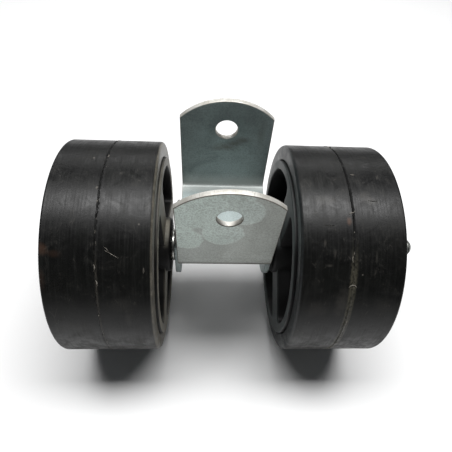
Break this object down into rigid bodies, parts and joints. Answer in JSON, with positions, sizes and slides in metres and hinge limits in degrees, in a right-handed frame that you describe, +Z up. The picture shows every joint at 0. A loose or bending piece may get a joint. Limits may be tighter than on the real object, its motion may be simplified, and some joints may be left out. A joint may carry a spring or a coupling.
{
  "type": "gate wheel",
  "caption": "Gate support wheel: twin rubber-tyred wheels on one axle bolt under a zinc-plated U-shaped saddle that bolts round a gate's bottom rail.",
  "frame": {"origin": "centre of the saddle's seat, the flat inner face of its base that the gate's rail rests on", "axes": "+X along the axle, towards the nut end; +Z up out of the saddle, along the ears; the two ears face +Y and -Y"},
  "size_m": [0.2747, 0.1534, 0.1812],
  "materials": {
    "zinc_plate": "zinc-plated steel plate with cloudy passivation stains",
    "weld": "zinc-plated weld bead",
    "fastener_steel": "bright zinc-plated fasteners",
    "tyre_rubber": "smooth moulded black rubber, dusty and lightly scuffed",
    "core_plastic": "moulded black plastic with a film of dust",
    "bronze": "sintered bronze",
    "nylon": "white nylon"
  },
  "bodies": {
    "carrier": {"saddle_bracket": "zinc_plate", "axle_yoke": "zinc_plate", "weld_left": "weld", "weld_right": "weld"},
    "axle": {"axle_bolt": "fastener_steel", "lock_nut": "fastener_steel", "lock_nut_nylon_ring": "nylon", "washer_inner_left": "fastener_steel", "washer_inner_right": "fastener_steel", "washer_outer_left": "fastener_steel", "washer_outer_right": "fastener_steel"},
    "left_wheel": {"tyre_left": "tyre_rubber", "wheel_core_left": "core_plastic", "bush_inner_left": "bronze", "bush_outer_left": "bronze"},
    "right_wheel": {"tyre_right": "tyre_rubber", "wheel_core_right": "core_plastic", "bush_inner_right": "bronze", "bush_outer_right": "bronze"}
  },
  "joints": [
    {"name": "axle_turn", "type": "hinge", "parent": "carrier", "child": "axle", "pos_m": [0, 0, -0.0319], "axis": [1, 0, 0], "continuous": true},
    {"name": "left_wheel_spin", "type": "hinge", "parent": "axle", "child": "left_wheel", "pos_m": [0, 0, -0.0319], "axis": [1, 0, 0], "continuous": true},
    {"name": "right_wheel_spin", "type": "hinge", "parent": "axle", "child": "right_wheel", "pos_m": [0, 0, -0.0319], "axis": [1, 0, 0], "continuous": true}
  ]
}
